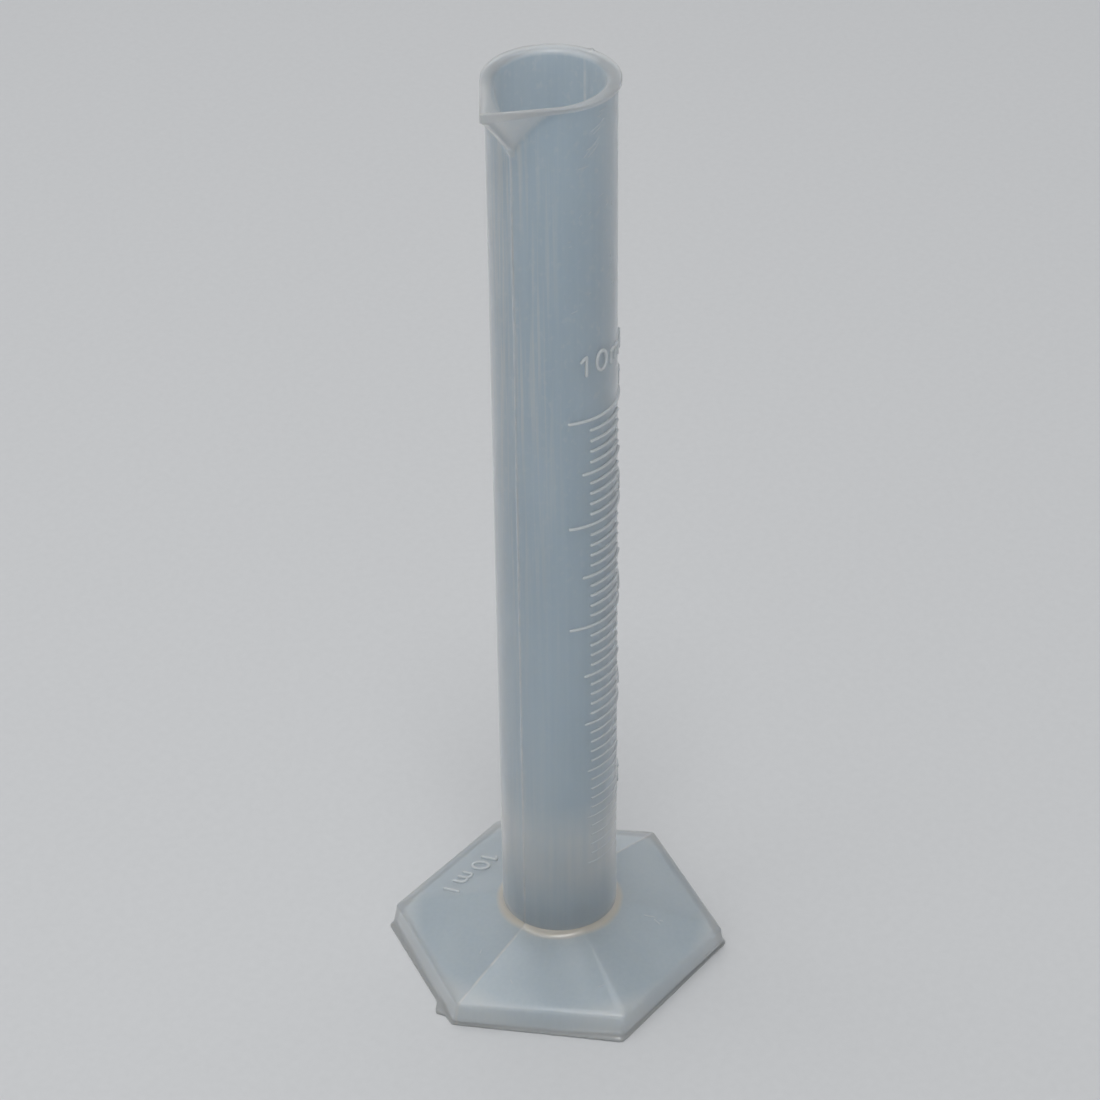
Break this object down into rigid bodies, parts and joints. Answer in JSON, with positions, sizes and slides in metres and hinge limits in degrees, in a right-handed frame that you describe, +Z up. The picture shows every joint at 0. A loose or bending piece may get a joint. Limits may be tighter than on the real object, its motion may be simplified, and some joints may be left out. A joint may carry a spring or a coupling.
{
  "type": "graduated cylinder",
  "caption": "Slim moulded plastic measuring cylinder with a raised volume scale, a wide pouring spout and a hollow hexagonal foot.",
  "frame": {"origin": "centre of the foot's underside, on the tube's axis, at the surface the cylinder stands on", "axes": "+Z up the tube, -X the way the spout pours, -Y the way the scale faces"},
  "size_m": [0.0458, 0.0398, 0.1294],
  "materials": {
    "natural_polypropylene": "satin"
  },
  "bodies": {
    "root": {"measuring_tube": "natural_polypropylene", "tube_floor": "natural_polypropylene", "rim_flange": "natural_polypropylene", "pour_spout": "natural_polypropylene", "foot_top": "natural_polypropylene", "foot_skirt": "natural_polypropylene", "long_graduations": "natural_polypropylene", "medium_graduations": "natural_polypropylene", "short_graduations": "natural_polypropylene", "tube_capacity_mark": "natural_polypropylene", "foot_capacity_mark": "natural_polypropylene", "tube_parting_lines": "natural_polypropylene", "foot_parting_lines": "natural_polypropylene"}
  },
  "joints": []
}
